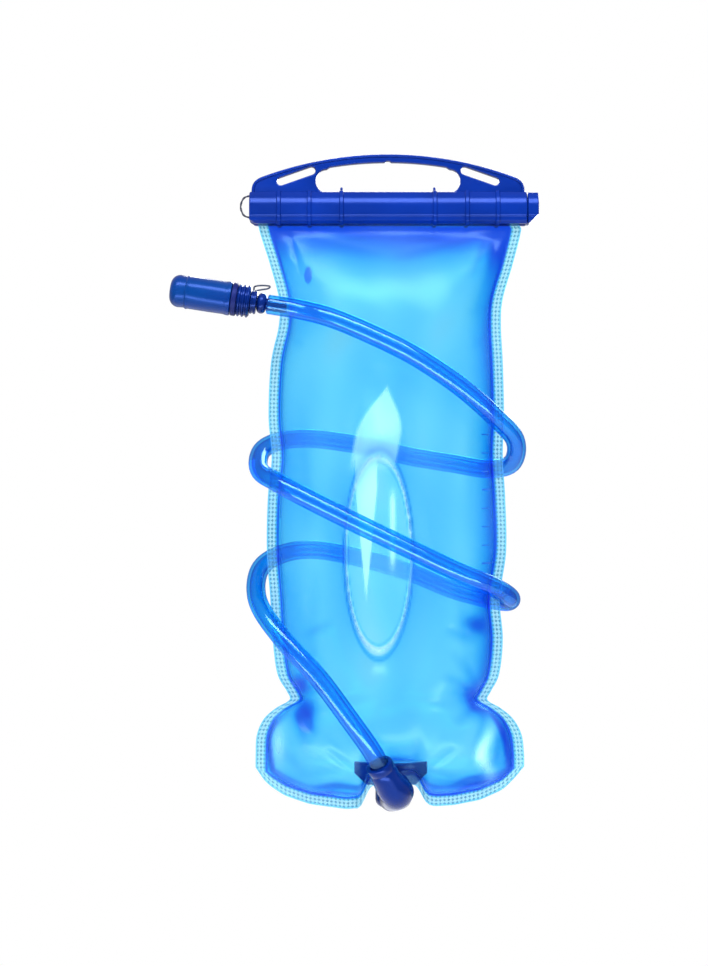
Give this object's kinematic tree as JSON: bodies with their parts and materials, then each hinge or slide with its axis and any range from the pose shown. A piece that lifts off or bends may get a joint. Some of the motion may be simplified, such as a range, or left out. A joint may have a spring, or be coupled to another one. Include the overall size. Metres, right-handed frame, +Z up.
{
  "type": "hydration bladder",
  "caption": "Soft see-through water reservoir with a slide-on handle clamp, a wound drinking hose, a bottom elbow outlet and a capped bite valve.",
  "frame": {"origin": "underside of the handle's strip at the middle, where the bladder hangs from its hook", "axes": "+Z up, along the bag; -Y towards the front of the bag; +X along the clamp, to the right seen from the front"},
  "size_m": [0.2004, 0.079, 0.3614],
  "materials": {
    "clamp_plastic": "moulded translucent royal blue, glossy",
    "rail_plastic": "extruded, glossy",
    "film": "clear light blue TPU film, glossy, welded edges",
    "navy_plastic": "moulded translucent navy, glossy",
    "cap_plastic": "moulded translucent navy, glossy",
    "hose_tube": "extruded clear blue tube, glossy",
    "silicone": "soft clear silicone",
    "seal_rubber": "moulded seal rubber, satin",
    "spring_steel": "drawn wire, dark",
    "tether_cord": "braided thin cord, dark"
  },
  "bodies": {
    "clamp": {"slide_clamp": "clamp_plastic", "clamp_tether": "tether_cord"},
    "reservoir": {"front_mouth_rail": "rail_plastic", "back_mouth_rail": "rail_plastic", "rail_end_stop": "clamp_plastic", "front_panel": "film", "back_panel": "film", "outlet_port": "navy_plastic", "outlet_o_ring": "seal_rubber", "outlet_lock_ring": "spring_steel", "outlet_elbow": "navy_plastic", "hose": "hose_tube", "valve_stem": "navy_plastic", "stem_o_ring": "seal_rubber", "neck_ring": "navy_plastic", "lanyard_loop": "spring_steel"},
    "twist_valve": {"valve_collar": "navy_plastic", "seal_ring": "seal_rubber", "bite_mouthpiece": "silicone"},
    "cap": {"dust_cap": "cap_plastic"}
  },
  "joints": [
    {"name": "clamp_slide", "type": "slide", "parent": "clamp", "child": "reservoir", "axis": [1, 0, 0], "range_m": [0, 0.15]},
    {"name": "valve_twist", "type": "hinge", "parent": "reservoir", "child": "twist_valve", "pos_m": [-0.065, -0.022, -0.08], "axis": [-0.989, 0, 0.1478], "range_deg": [0, 90]},
    {"name": "cap_pull", "type": "slide", "parent": "twist_valve", "child": "cap", "axis": [-0.989, 0, 0.1478], "range_m": [0, 0.036]}
  ]
}
